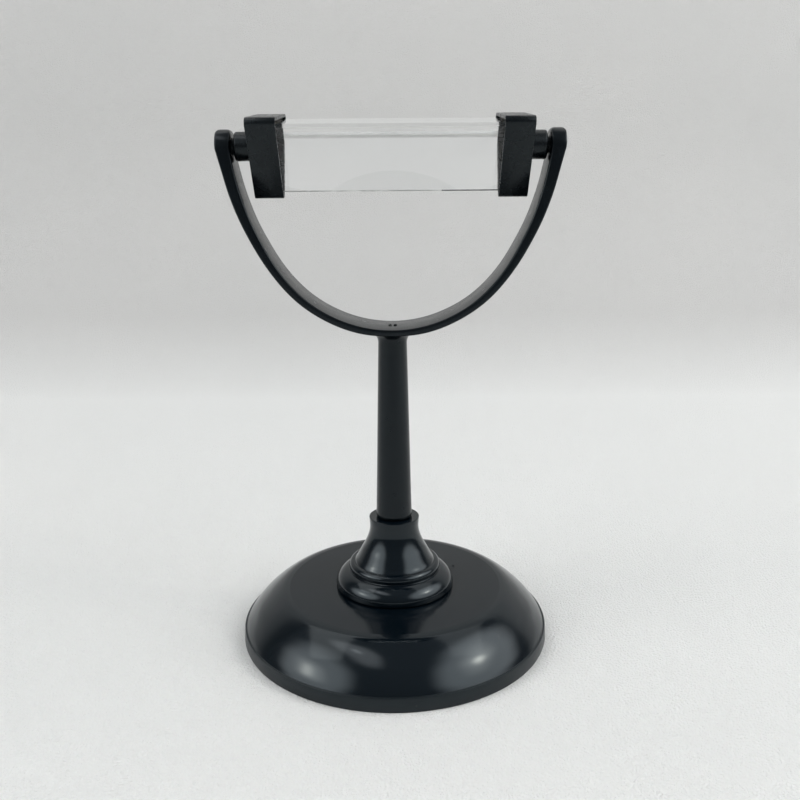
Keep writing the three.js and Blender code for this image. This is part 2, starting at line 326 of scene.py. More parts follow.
# ---- materials ----------------------------------------------------------------------------------------
class Material:
    """A small builder for procedural Principled materials."""

    def __init__(self, name):
        self.material = bpy.data.materials.new(name)
        self.material.use_nodes = True
        self.tree = self.material.node_tree
        self.shader = self.tree.nodes["Principled BSDF"]
        self.coords = self.tree.nodes.new("ShaderNodeTexCoord").outputs["Object"]

    def set(self, **values):
        for key, value in values.items():
            self.shader.inputs[key.replace("_", " ")].default_value = value
        return self

    def noise(self, scale, detail=3.0, roughness=0.55, distortion=0.0):
        node = self.tree.nodes.new("ShaderNodeTexNoise")
        node.inputs["Scale"].default_value = scale
        node.inputs["Detail"].default_value = detail
        node.inputs["Roughness"].default_value = roughness
        node.inputs["Distortion"].default_value = distortion
        self.tree.links.new(self.coords, node.inputs["Vector"])
        return node.outputs["Fac"]

    def along(self, axis):
        """The object coordinate along one axis, in metres."""
        node = self.tree.nodes.new("ShaderNodeSeparateXYZ")
        self.tree.links.new(self.coords, node.inputs[0])
        return node.outputs[axis]

    def voronoi(self, scale):
        node = self.tree.nodes.new("ShaderNodeTexVoronoi")
        node.inputs["Scale"].default_value = scale
        self.tree.links.new(self.coords, node.inputs["Vector"])
        return node.outputs["Distance"]

    def ramp(self, source, stops):
        node = self.tree.nodes.new("ShaderNodeValToRGB")
        elements = node.color_ramp.elements
        while len(elements) < len(stops):
            elements.new(0.5)
        for element, (position, colour) in zip(elements, stops):
            element.position = position
            if isinstance(colour, (int, float)):
                colour = (colour, colour, colour)
            element.color = (*colour, 1.0)
        self.tree.links.new(source, node.inputs["Fac"])
        return node.outputs["Color"]

    def link(self, output, socket):
        self.tree.links.new(output, self.shader.inputs[socket])

    def mix(self, factor, a, b, mode="MIX"):
        node = self.tree.nodes.new("ShaderNodeMix")
        node.data_type = "RGBA"
        node.blend_type = mode
        # a colour mix takes its factor at socket 0 and its colours at 6 and 7
        for value, socket in ((factor, 0), (a, 6), (b, 7)):
            if hasattr(value, "links"):
                self.tree.links.new(value, node.inputs[socket])
            elif isinstance(value, (int, float)):
                node.inputs[socket].default_value = value
            else:
                node.inputs[socket].default_value = (*value, 1.0)
        return node.outputs[2]

    def bump(self, height, strength, distance):
        node = self.tree.nodes.new("ShaderNodeBump")
        node.inputs["Strength"].default_value = strength
        node.inputs["Distance"].default_value = distance
        self.tree.links.new(height, node.inputs["Height"])
        self.link(node.outputs["Normal"], "Normal")
        return node

    def chain_bump(self, previous, height, strength, distance):
        node = self.bump(height, strength, distance)
        self.tree.links.new(previous.outputs["Normal"], node.inputs["Normal"])
        return node


BLACK_SHEEN = (0.84, 0.95, 1.0, 1.0)


def gloss_black(name, rough_lo, rough_hi, dark, light, ior=1.44):
    """Polished black moulding: faint cloudiness, fine wipe marks in the gloss, a few dust specks."""
    m = Material(name).set(IOR=ior, Specular_Tint=BLACK_SHEEN)
    cloud = m.noise(55, 4)
    colour = m.ramp(cloud, [(0.3, dark), (0.75, light)])
    specks = m.ramp(m.voronoi(420), [(0.0, 1.0), (0.035, 1.0), (0.05, 0.0)])
    patches = m.ramp(m.noise(38, 2), [(0.6, 0.0), (0.66, 1.0)])
    dust = m.mix(1.0, specks, patches, "MULTIPLY")
    m.link(m.mix(dust, colour, (0.11, 0.11, 0.105)), "Base Color")
    wipe = m.noise(140, 5, 0.65, 0.6)
    m.link(m.ramp(wipe, [(0.3, rough_lo), (0.8, rough_hi)]), "Roughness")
    m.bump(m.noise(90, 2), 0.3, 0.00004)
    return m.material


def satin_black(name, dark, light, rough_lo, rough_hi, grain, depth, ior=1.48):
    """Black moulding with a fine spark-eroded texture and a slightly blotchy sheen."""
    m = Material(name).set(IOR=ior, Specular_Tint=BLACK_SHEEN)
    cloud = m.noise(120, 5, 0.62, 0.4)
    m.link(m.ramp(cloud, [(0.32, dark), (0.72, light)]), "Base Color")
    m.link(m.ramp(m.noise(260, 4, 0.6), [(0.3, rough_lo), (0.75, rough_hi)]), "Roughness")
    coarse = m.bump(m.noise(260, 3), 0.25, depth)
    m.chain_bump(coarse, m.noise(grain, 2), 0.35, depth * 0.5)
    return m.material


def clear_glass():
    m = Material("prism_glass").set(IOR=1.52, Transmission_Weight=1.0, Roughness=0.0)
    tint = m.ramp(m.noise(14, 1), [(0.3, (0.985, 0.992, 0.988)), (0.7, (0.992, 0.996, 0.993))])
    m.link(tint, "Base Color")
    return m.material


def ground_glass():
    """The ground bevels and ends: the same glass, left slightly frosted."""
    m = Material("prism_ground_edge").set(IOR=1.52, Transmission_Weight=1.0)
    tint = m.ramp(m.noise(160, 2), [(0.3, (0.945, 0.955, 0.95)), (0.7, (0.965, 0.975, 0.97))])
    m.link(tint, "Base Color")
    m.link(m.ramp(m.noise(700, 2), [(0.3, 0.12), (0.8, 0.14)]), "Roughness")
    return m.material


def ground_back_painted_shade():
    """The ground edge behind, a little rougher, with painted shade: its darker tint dims the glass there.
    """
    m = Material("prism_ground_back_painted_shade").set(IOR=1.52, Transmission_Weight=1.0)
    # painted shade: a much darker tint than the front bevels, for the dark band seen through the glass
    tint = m.ramp(m.noise(160, 2), [(0.3, (0.53, 0.55, 0.545)), (0.7, (0.58, 0.59, 0.585))])
    m.link(tint, "Base Color")
    m.link(m.ramp(m.noise(700, 2), [(0.3, 0.14), (0.8, 0.16)]), "Roughness")
    return m.material


def chipped_arris():
    """The fine lower edge outside the dark stretch: bright, with small chips."""
    m = Material("prism_arris_chips").set(IOR=1.45, Roughness=0.5)
    tint = m.ramp(m.noise(150, 2), [(0.5, (0.5, 0.51, 0.505)), (0.62, (0.85, 0.86, 0.855))])
    m.link(tint, "Base Color")
    return m.material


def dark_arris_stretch():
    """The fine lower edge over one stretch: opaque and dark."""
    m = Material("prism_arris_dark_stretch").set(IOR=1.45)
    tint = m.ramp(m.noise(900, 3), [(0.35, (0.05, 0.055, 0.055)), (0.75, (0.2, 0.21, 0.21))])
    m.link(tint, "Base Color")
    m.link(m.ramp(m.noise(1500, 2), [(0.3, 0.4), (0.8, 0.6)]), "Roughness")
    return m.material


def felt():
    m = Material("packing_felt").set(Roughness=0.95, Sheen_Weight=0.2, Sheen_Roughness=0.6)
    fibre = m.noise(2600, 4, 0.7, 1.2)
    m.link(m.ramp(fibre, [(0.3, (0.02, 0.017, 0.014)), (0.75, (0.085, 0.074, 0.064))]), "Base Color")
    m.bump(fibre, 0.7, 0.00012)
    return m.material


def dull_iron():
    m = Material("ballast_iron").set(Metallic=0.85)
    scale = m.noise(180, 6, 0.65)
    m.link(m.ramp(scale, [(0.3, (0.11, 0.10, 0.095)), (0.7, (0.26, 0.255, 0.25))]), "Base Color")
    m.link(m.ramp(m.noise(420, 3), [(0.3, 0.45), (0.8, 0.75)]), "Roughness")
    m.bump(scale, 0.5, 0.0001)
    return m.material


def zinc_steel():
    m = Material("screw_steel").set(Metallic=1.0)
    m.link(m.ramp(m.noise(500, 4), [(0.3, (0.46, 0.46, 0.45)), (0.7, (0.68, 0.68, 0.66))]), "Base Color")
    m.link(m.ramp(m.noise(900, 3), [(0.3, 0.22), (0.8, 0.42)]), "Roughness")
    m.bump(m.noise(1200, 3), 0.2, 0.00002)
    return m.material


GLOSS_DARK, GLOSS_LIGHT = (0.0008, 0.0026, 0.0046), (0.002, 0.0042, 0.0066)
MAT_SHOULDER = gloss_black("base_gloss", 0.11, 0.16, GLOSS_DARK, GLOSS_LIGHT)
MAT_TABLE = gloss_black("base_table", 0.12, 0.17, GLOSS_DARK, GLOSS_LIGHT, 1.36)
MAT_RIM = gloss_black("base_rim", 0.3, 0.4, (0.002, 0.0042, 0.006), (0.004, 0.0065, 0.0085))
MAT_UNDER = satin_black(
    "base_underside", (0.012, 0.0125, 0.013), (0.02, 0.0205, 0.021), 0.4, 0.55, 1500, 0.00004,
)
MAT_COLLAR = gloss_black("collar_gloss", 0.11, 0.17, GLOSS_DARK, GLOSS_LIGHT)
MAT_YOKE = satin_black(
    "yoke_satin", (0.0008, 0.0018, 0.003), (0.0022, 0.0036, 0.005), 0.2, 0.29, 2200, 0.00002, 1.36,
)
MAT_HOLDER = satin_black(
    "holder_matte", (0.0014, 0.0024, 0.0034), (0.0032, 0.0044, 0.0054), 0.24, 0.31, 2600, 0.00002, 1.36,
)
MAT_GLASS = clear_glass()
MAT_GROUND = ground_glass()
MAT_BACK_PAINTED_SHADE = ground_back_painted_shade()
MAT_DARK_ARRIS = dark_arris_stretch()
MAT_CHIPS = chipped_arris()
MAT_FELT = felt()
MAT_IRON = dull_iron()
MAT_STEEL = zinc_steel()


# ---- base ---------------------------------------------------------------------------------------------
SHOULDER, TABLE, RIM, UNDER = range(4)
BASE_FINISHES = [MAT_SHOULDER, MAT_TABLE, MAT_RIM, MAT_UNDER]


def base_outline():
    """Closed (r, z) outline with the finish of each span."""
    shoulder = smooth_curve(
        [
            (49.1, 4.7), (48.55, 5.6), (46.85, 7.9), (45, 10.05), (42.8, 12.1), (40.4, 14),
            (39.1, 14.85), (37.8, 15.55), (36.4, 16.05), (TABLE_R, TABLE_Z),
        ],
        count=48,
    )
    wall = smooth_curve(
        [
            (37.2, 13.6), (38.9, 12.4), (41.1, 10.7), (43.2, 8.8), (45.2, 6.6), (46.6, 4.9),
            (WALL_IN_R, 4),
        ],
        count=16,
    )
    hole_edge = [(TABLE_HOLE_R + 0.2, TABLE_Z), (TABLE_HOLE_R, TABLE_Z - 0.2)]
    parts = [
        (RIM, [(BASE_R - 0.4, 0), (BASE_R - 0.12, 0.12), (BASE_R, 0.4), (RIM_TOP_R, RIM_H - 0.4)]),
        (RIM, [(RIM_TOP_R - 0.1, RIM_H - 0.12), (RIM_TOP_R - 0.35, RIM_H), (49.2, RIM_H + 0.02)]),
        (SHOULDER, shoulder),
        (TABLE, [(28, TABLE_Z), (20, TABLE_Z), *hole_edge]),
        (UNDER, [(TABLE_HOLE_R, TABLE_Z - SHELL_T), (TABLE_R - 1, TABLE_Z - SHELL_T)]),
        (UNDER, wall),
        (UNDER, [(WALL_IN_R, 0.25), (WALL_IN_R + 0.25, 0)]),
    ]
    outline, slots = [], []
    for slot, points in parts:
        for p in points:
            outline.append(p)
            slots.append(slot)
    slots[-1] = RIM
    slots[outline.index(shoulder[-1])] = TABLE
    return outline, slots


def circle_points(radius, first_deg):
    """Three even places round the stem, for screws."""
    angles = [math.radians(first_deg + 120 * i) for i in range(3)]
    return [(radius * math.cos(a), radius * math.sin(a)) for a in angles]


def rod_object(name, radius, z0, z1, centre, materials, segments=ROD_SEGMENTS):
    bm = bmesh.new()
    revolve(bm, [(0, z0), (radius, z0), (radius, z1), (0, z1)], segments, centre)
    return finish_mesh(bm, name, materials)


def build_base():
    outline, slots = base_outline()
    base = turned_object("base_moulding", outline, BASE_SEGMENTS, BASE_FINISHES, slots)
    boss_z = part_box("ballast_ring")[1].z / MM + BOSS_GAP
    ceiling_z = TABLE_Z - SHELL_T
    for at in circle_points(BALLAST_SCREW_CIRCLE_R, 90):
        boss = rod_object("boss", BOSS_R, boss_z, ceiling_z + BOSS_SINK, at, [MAT_UNDER])
        combine(base, boss, "UNION")
        low, high = boss_z - CUT_PAST, ceiling_z - BALLAST_PILOT_SHORT
        pilot = rod_object("pilot", BALLAST_PILOT_R, low, high, at, [MAT_UNDER])
        combine(base, pilot, "DIFFERENCE")
    for at in circle_points(COLLAR_SCREW_CIRCLE_R, 30):
        low, high = ceiling_z - CUT_PAST, TABLE_Z + CUT_PAST
        hole = rod_object("hole", COLLAR_SCREW_HOLE_R, low, high, at, [MAT_UNDER])
        combine(base, hole, "DIFFERENCE")
    low, high = TABLE_Z - PIT_DEPTH, TABLE_Z + CUT_PAST
    pit = rod_object("pit", PIT_R, low, high, PIT_AT, [MAT_UNDER], PIT_SEGMENTS)
    combine(base, pit, "DIFFERENCE")
    reshade(base)
    place(base, "base", "base_plastic", "base_shell")


# ---- collar -------------------------------------------------------------------------------------------
def collar_outline():
    foot = smooth_curve(
        [(19.3, 17.3), (19.05, 18.6), (18.35, 19.9), (17.25, 21), (16, 21.75), (15.05, 22.1)],
        count=24,
    )
    bead = smooth_curve(
        [(14.75, 22.22), (14.9, 22.8), (14.9, 23.4), (14.6, 24.2), (13.95, 24.72), (13.3, 24.8)],
        count=22,
    )
    bell = smooth_curve(
        [
            (12.95, 25.1), (12.3, 26.05), (11.75, 27), (10.65, 29), (9.55, 31), (8.65, 33.1), (8.1, 35),
            (7.92, 36.8), (8.02, 38.5), (8.1, COLLAR_Z - 0.22),
        ],
        count=44,
    )
    return [
        (STEM_SCREW_HOLE_R, COLLAR_TAIL_Z), (COLLAR_TAIL_R, COLLAR_TAIL_Z), (COLLAR_TAIL_R, COLLAR_FOOT_Z),
        (19.0, COLLAR_FOOT_Z), (19.22, COLLAR_FOOT_Z + 0.2), *foot, (14.9, 22.1), *bead, (13.05, 24.88),
        *bell, (8.05, COLLAR_Z - 0.07), (7.92, COLLAR_Z), (SOCKET_R + 0.12, COLLAR_Z),
        (SOCKET_R, COLLAR_Z - 0.12), (SOCKET_R, SOCKET_Z), (STEM_SCREW_HOLE_R, SOCKET_Z),
    ]


def build_collar():
    collar = turned_object(
        "collar_moulding", collar_outline(), COLLAR_SEGMENTS, [MAT_COLLAR], sharp_deg=COLLAR_SHARP_DEG,
    )
    for at in circle_points(COLLAR_SCREW_CIRCLE_R, 30):
        low, high = COLLAR_FOOT_Z - CUT_PAST, COLLAR_PILOT_TOP_Z
        hole = rod_object("hole", COLLAR_PILOT_R, low, high, at, [MAT_UNDER])
        combine(collar, hole, "DIFFERENCE")
    reshade(collar, COLLAR_SHARP_DEG)
    place(collar, "base", "collar_plastic", "collar")


# ---- stem and yoke ------------------------------------------------------------------------------------
# right half of the U from its middle up to the ear: (x, z) along each side, and (z, half width)
OUTER_KNOTS = [
    (0, 100.8), (7.86, 101.26), (14.5, 103.05), (18.8, 104.94), (22.2, 106.78), (27.35, 110.35),
    (36.78, 121.03), (41.18, 128.39), (44.46, 135.02), (46.58, 140.53), (48.18, 145.62), (49.26, 150.34),
    (50.33, 153.66), (50.68, EAR_TOP_Z - EAR_R),
]
INNER_KNOTS = [
    (0, YOKE_INNER_Z), (7.97, 103.5), (17.11, 106.59), (23.44, 110.27), (33.64, 120.94), (37.85, 128.28),
    (41.08, 134.95), (43.02, 140.45), (44.55, 145.55), (45.52, 150.38), (46.19, 152.99),
    (EAR_IN_X, EAR_TOP_Z - EAR_R),
]
WIDTH_KNOTS = [(100, 8.65), (105, 8.65), (111, 8.35), (121, 7.7), (132, 7.0), (145, 6.3), (155.4, EAR_R)]
STRAP_STEPS = 240
STRAP_STATIONS = 60
STRAP_PASSES = 120
EAR_STEPS = 20
CORNER_STEPS = 4


def interpolate(knots, x):
    for (x0, y0), (x1, y1) in zip(knots, knots[1:]):
        if x <= x1:
            return y0 + (y1 - y0) * max(0.0, (x - x0) / (x1 - x0))
    return knots[-1][1]


def rounded_section(outer, inner, half_width, edge):
    """Rounded rectangle between an outer and an inner (x, z) point, half_width each way along Y."""
    o, i = Vector(outer), Vector(inner)
    mid, across = (o + i) / 2, (o - i)
    half_t = across.length / 2
    unit = across.normalized()
    edge = min(edge, half_t * 0.95, half_width * 0.95)
    points = []
    for corner, (side_t, side_y) in enumerate([(1, 1), (-1, 1), (-1, -1), (1, -1)]):
        for step in range(CORNER_STEPS + 1):
            a = math.radians(90 * (corner + step / CORNER_STEPS))
            t = side_t * (half_t - edge) + edge * math.cos(a)
            y = side_y * (half_width - edge) + edge * math.sin(a)
            p = mid + unit * t
            points.append((p.x, y, p.y))
    return points


def strap_line(knots):
    """The right half of a line that is smooth across the middle of the U."""
    mirrored = [(-x, z) for x, z in knots[:0:-1]]
    return smooth_curve(mirrored + list(knots), 2 * STRAP_STEPS, STRAP_PASSES)[STRAP_STEPS:]


def strap_sections():
    """Sections from the middle of the U up to the top of the right ear."""
    outer = strap_line(OUTER_KNOTS)
    inner = strap_line(INNER_KNOTS)
    sections = []
    for k in range(STRAP_STATIONS):
        at = round(k / STRAP_STATIONS * STRAP_STEPS)
        o, i = outer[at], inner[at]
        half_w = interpolate(WIDTH_KNOTS, (o[1] + i[1]) / 2)
        sections.append(rounded_section(o, i, half_w, STRAP_EDGE_R))
    for k in range(EAR_STEPS + 1):
        a = math.radians(90 * k / EAR_STEPS)
        rise = EAR_R * math.sin(a)
        half_w = max(EAR_R * math.cos(a), EAR_TIP_W)
        past = max(0.0, rise - EAR_R + EAR_CORNER_R) / EAR_CORNER_R
        inset = (EAR_CORNER_R - 0.1) * (1 - math.sqrt(max(0.0, 1 - past**2)))
        out_x = min(EAR_OUT_X, OUTER_KNOTS[-1][0] + EAR_FLARE * rise) - inset
        z = EAR_TOP_Z - EAR_R + rise
        sections.append(rounded_section((out_x, z), (EAR_IN_X + inset, z), half_w, EAR_EDGE_R))
    return sections


def build_strap():
    right = strap_sections()
    left = [[(-x, y, z) for x, y, z in s] for s in right[1:]][::-1]
    bm = bmesh.new()
    rings = [[bm.verts.new(p) for p in section] for section in left + right]
    for a, b in zip(rings, rings[1:]):
        skin_between(bm, a, b)
    bm.faces.new(rings[0][::-1])
    bm.faces.new(rings[-1])
    return finish_mesh(bm, "yoke_moulding", [MAT_YOKE])


def stem_outline():
    low_r = STEM_FOOT_R - 0.12
    taper = []
    for k in range(STEM_TAPER_STEPS + 1):
        r = low_r + (STEM_TOP_R - low_r) * k / STEM_TAPER_STEPS
        taper.append((r, STEM_TAPER_Z + (STEM_TOP_Z - STEM_TAPER_Z) * k / STEM_TAPER_STEPS))
    foot = [
        (STEM_FOOT_R - 0.6, STEM_FOOT_Z), (STEM_FOOT_R - 0.36, STEM_FOOT_Z + 0.09),
        (STEM_FOOT_R - 0.2, STEM_FOOT_Z + 0.25), (STEM_FOOT_R - 0.07, STEM_FOOT_Z + 0.5),
        (STEM_FOOT_R - 0.01, STEM_FOOT_Z + 0.85), (STEM_FOOT_R, STEM_FOOT_Z + 1.2),
    ]
    fillet = smooth_curve(
        [
            (STEM_TOP_R, STEM_TOP_Z), (4.53, 98.2), (4.73, 98.9), (5.1, 99.6), (5.7, 100.3), (6.5, 100.9),
            (7.2, 101.4),
        ],
        count=18,
    )
    return [
        (0, SPIGOT_Z), (SPIGOT_R - 0.5, SPIGOT_Z), (SPIGOT_R, SPIGOT_Z + 0.5), (SPIGOT_R, STEM_FOOT_Z),
        *foot, *taper, *fillet[1:], (0, 101.45),
    ]


# place, radii round the stub and height
GATE_STUBS = [
    ((-0.8, -0.2), (0.6, 0.8, 0.5, 0.7, 0.45, 0.65, 0.8, 0.55), 0.42),
    ((0.85, 0.1), (0.6, 0.35, 0.65, 0.45, 0.55, 0.7, 0.4, 0.5), 0.4),
]


def gate_stub(at, radii, height):
    """One torn stub of the moulding gate: a ragged boss that narrows to a tilted break."""
    x0, y0 = at
    bm = bmesh.new()
    rings = []
    for rise, scale in ((-0.5, 1.0), (height * 0.6, 0.92), (height, 0.6)):
        z = YOKE_INNER_Z + rise
        ring = []
        for k, r in enumerate(radii):
            a = 2 * math.pi * k / len(radii)
            lean = 0.12 * math.cos(a + x0) if scale < 1 else 0
            x, y = x0 + r * scale * math.cos(a), y0 + r * scale * math.sin(a)
            ring.append(bm.verts.new((x, y, z + lean)))
        rings.append(ring)
    for a, b in zip(rings, rings[1:]):
        skin_between(bm, a, b)
    bm.faces.new(rings[0][::-1])
    bm.faces.new(rings[-1])
    return finish_mesh(bm, "gate", [MAT_YOKE], GATE_SHARP_DEG)


def build_stem_yoke():
    yoke = build_strap()
    stem = turned_object("stem", stem_outline(), STEM_SEGMENTS, [MAT_YOKE])
    combine(yoke, stem, "UNION")
    low, high = SPIGOT_Z - CUT_PAST, STEM_PILOT_TOP_Z
    pilot = rod_object("pilot", STEM_PILOT_R, low, high, (0, 0), [MAT_YOKE])
    combine(yoke, pilot, "DIFFERENCE")
    for sign in (-1, 1):
        hole = rod_object("hole", PIN_HOLE_R, *PIN_HOLE_X, (0, 0), [MAT_YOKE], PIN_HOLE_SEGMENTS)
        hole.data.transform(Matrix.Rotation(math.pi / 2 * sign, 4, "Y"))
        hole.data.transform(Matrix.Translation((0, 0, PIVOT_Z * MM)))
        combine(yoke, hole, "DIFFERENCE")
    for at, radii, height in GATE_STUBS:
        combine(yoke, gate_stub(at, radii, height), "UNION")
    reshade(yoke)
    place(yoke, "yoke", "yoke_plastic", "stem_yoke")


# ---- prism and holders --------------------------------------------------------------------------------
HOLDER_CORNER_STEPS = 9


def rounded_triangle(side, corner_r):
    """(y, z) points of a flat-side-up triangle with rounded corners."""
    reach = side / math.sqrt(3) - 2 * corner_r
    points = []
    for deg in (30, 150, 270):
        a = math.radians(deg)
        y, z = reach * math.cos(a), reach * math.sin(a)
        for step in range(HOLDER_CORNER_STEPS + 1):
            b = a + math.radians(-60 + 120 * step / HOLDER_CORNER_STEPS)
            points.append((y + corner_r * math.cos(b), z + corner_r * math.sin(b)))
    return points


def to_pivot(obj):
    """Lifts a piece drawn about its own middle to the tilt axis, tipped back."""
    lift = Matrix.Translation((0, 0, HOLDER_RISE * MM))
    obj.data.transform(Matrix.Translation((0, 0, PIVOT_Z * MM)) @ Matrix.Rotation(TILT, 4, "X") @ lift)


def build_holder(sign, name, node):
    outer = rounded_triangle(HOLDER_SIDE, HOLDER_CORNER_R)
    inner = rounded_triangle(HOLDER_INNER_SIDE, HOLDER_INNER_CORNER_R)
    bm = bmesh.new()
    layers = [
        (outer, HOLDER_OUT_X), (outer, HOLDER_IN_X),
        (inner, HOLDER_IN_X), (inner, HOLDER_OUT_X - HOLDER_END_T),
    ]
    rings = [[bm.verts.new((sign * x, y, z)) for y, z in shape] for shape, x in layers]
    for a, b in zip(rings, rings[1:]):
        skin_between(bm, a, b)
    bm.faces.new(rings[0])
    bm.faces.new(rings[-1][::-1])
    holder = finish_mesh(bm, name, [MAT_HOLDER])
    bevel = holder.modifiers.new("edge", "BEVEL")
    bevel.width = HOLDER_EDGE_R * MM
    bevel.segments = 2
    bevel.limit_method = "ANGLE"
    bevel.angle_limit = math.radians(HOLDER_EDGE_DEG)
    apply_modifiers(holder)
    to_pivot(holder)
    hub = turned_object("hub", hub_outline(), HUB_SEGMENTS, [MAT_HOLDER])
    hub.data.transform(Matrix.Rotation(math.pi / 2 * sign, 4, "Y"))
    hub.data.transform(Matrix.Translation((0, 0, PIVOT_Z * MM)))
    combine(holder, hub, "UNION")
    reshade(holder)
    place(holder, "prism", "holder_plastic", node)


def hub_outline():
    """Along the tilt axis: from inside the end wall, out over the hub, down to the pin."""
    return [
        (0, HOLDER_OUT_X - 0.6), (HUB_R + 0.25, HOLDER_OUT_X - 0.6), (HUB_R + 0.25, HOLDER_OUT_X + 0.02),
        (HUB_R + 0.06, HOLDER_OUT_X + 0.12), (HUB_R, HOLDER_OUT_X + 0.35), (HUB_R, HUB_END_X - 0.7),
        (HUB_R - 0.1, HUB_END_X - 0.33), (HUB_R - 0.33, HUB_END_X - 0.1), (HUB_R - 0.7, HUB_END_X),
        (PIN_R + 0.1, HUB_END_X), (PIN_R, HUB_END_X + 0.1), (PIN_R, PIN_END_X - 0.35),
        (PIN_R - 0.35, PIN_END_X), (0, PIN_END_X),
    ]


def glass_corners():
    """Cross-section (y, z): a triangle with its corners ground flat, and a fine arris low in front."""
    half, inner = GLASS_SIDE / 2, GLASS_SIDE / (2 * math.sqrt(3))
    corners = [(half, inner), (-half, inner), (0, -2 * inner)]
    points = []
    for i, (y, z) in enumerate(corners):
        for ty, tz in (corners[(i + 2) % 3], corners[(i + 1) % 3]):
            k = GLASS_BEVEL / GLASS_SIDE
            points.append((y + (ty - y) * k, z + (tz - z) * k))
    front, low = Vector(points[3]), Vector(points[4])
    points[4:5] = [tuple(low + (front - low).normalized() * ARRIS_W), (low.x + ARRIS_W * 0.25, low.y)]
    return points


CLEAR, GROUND, DARK_ARRIS, BACK, CHIPS = range(5)
GLASS_FINISHES = [MAT_GLASS, MAT_GROUND, MAT_DARK_ARRIS, MAT_BACK_PAINTED_SHADE, MAT_CHIPS]


def build_glass():
    points = glass_corners()
    n = len(points)
    back_bevel, front_bevel, arris, low_bevel = 0, 2, n - 3, n - 2
    finish = {back_bevel: BACK, front_bevel: GROUND, arris: CHIPS, low_bevel: GROUND}
    stations = [-GLASS_END_X, ARRIS_DARK_FROM_X, ARRIS_DARK_TO_X, GLASS_END_X]
    dark_stretch = stations.index(ARRIS_DARK_FROM_X)
    bm = bmesh.new()
    rings = [[bm.verts.new((x, y, z)) for y, z in points] for x in stations]
    for k, (a, b) in enumerate(zip(rings, rings[1:])):
        for s, face in enumerate(skin_between(bm, a, b)):
            face.material_index = DARK_ARRIS if (s, k) == (arris, dark_stretch) else finish.get(s, CLEAR)
    for ring in (rings[0], rings[-1]):
        bm.faces.new(ring).material_index = GROUND
    glass = finish_mesh(bm, "glass_prism_body", GLASS_FINISHES, GLASS_SHARP_DEG)
    seat = Matrix.Translation((0, 0, -GLASS_DROP * MM))
    glass.data.transform(seat @ Matrix.Rotation(GLASS_TURN, 4, "X"))
    to_pivot(glass)
    place(glass, "prism", "prism_glass", "glass_prism")


# ---- CAD nodes that stay, with their own finishes -----------------------------------------------------
def finish_cad_nodes():
    finishes = {
        "ballast_ring": MAT_IRON, "stem_washer": MAT_STEEL, "stem_screw": MAT_STEEL,
        "packing_left": MAT_FELT, "packing_right": MAT_FELT,
    }
    for i in (1, 2, 3):
        finishes[f"ballast_screw_{i}"] = finishes[f"collar_screw_{i}"] = MAT_STEEL
    for node, material in finishes.items():
        mesh = frame["nodes"][node].data
        mesh.materials.clear()
        mesh.materials.append(material)


# ---- studio -------------------------------------------------------------------------------------------
# the cloth, in metres and degrees
CLOTH_COLUMNS = (-2.4, -0.8, 0.8, 2.4)
CLOTH_FLAT = ((-2.2, 0.0), (-0.5, 0.0), (0.25, 0.0))
BEND_Y, BEND_R, BEND_STEPS = 0.30, 0.22, 16
WALL_SLOPE = 80
BACKDROP_TOP = 1.7


def cloth_profile():
    """(y, z) points: the flat floor, a soft bend, and the leaning wall."""
    profile = list(CLOTH_FLAT)
    for k in range(BEND_STEPS + 1):
        a = math.radians(WALL_SLOPE * k / BEND_STEPS)
        profile.append((BEND_Y + BEND_R * math.sin(a), BEND_R * (1 - math.cos(a))))
    last_y, last_z = profile[-1]
    rise = BACKDROP_TOP - last_z
    profile.append((last_y + rise / math.tan(math.radians(WALL_SLOPE)), BACKDROP_TOP))
    return profile


def pale_cloth():
    """Fine weave with soft folds; where the cloth stands up it is painted greyer, as painted shade."""
    m = Material("pale_cloth").set(Roughness=0.9, IOR=1.4)
    floor_tone = m.ramp(m.noise(3.2, 3), [(0.3, (0.715, 0.726, 0.718)), (0.7, (0.74, 0.746, 0.736))])
    # painted shade: the upright wall gets a darker tone than the floor, blended in over the bend
    wall_painted_shade = m.ramp(m.noise(2.4, 3), [(0.3, (0.502, 0.503, 0.496)), (0.7, (0.526, 0.524, 0.515))])
    upright_shade_mask = m.ramp(m.along("Y"), [(BEND_Y, 0.0), (BEND_Y + 0.12, 1.0)])
    m.link(m.mix(upright_shade_mask, floor_tone, wall_painted_shade), "Base Color")
    folds = m.bump(m.noise(6, 2, 0.4, 0.8), 0.5, 0.006)
    m.chain_bump(folds, m.noise(1300, 2), 0.8, 0.001)
    return m.material


def build_stage():
    """One pale cloth: a floor that turns up softly into a backdrop behind the object."""
    profile = cloth_profile()
    bm = bmesh.new()
    columns = [[bm.verts.new((x, y, z)) for y, z in profile] for x in CLOTH_COLUMNS]
    for a, b in zip(columns, columns[1:]):
        for k in range(len(profile) - 1):
            bm.faces.new((a[k], b[k], b[k + 1], a[k + 1]))
    for f in bm.faces:
        f.smooth = True
    mesh = bpy.data.meshes.new("cloth_sweep")
    bm.to_mesh(mesh)
    bm.free()
    mesh.materials.append(pale_cloth())
    sweep = bpy.data.objects.new("cloth_sweep", mesh)
    bpy.context.scene.collection.objects.link(sweep)


def from_angles(azimuth, elevation, distance):
    """A point seen from the object: azimuth 0 is towards -Y and grows towards +X."""
    a, e = math.radians(azimuth), math.radians(elevation)
    return (
        distance * math.sin(a) * math.cos(e),
        -distance * math.cos(a) * math.cos(e),
        distance * math.sin(e),
    )


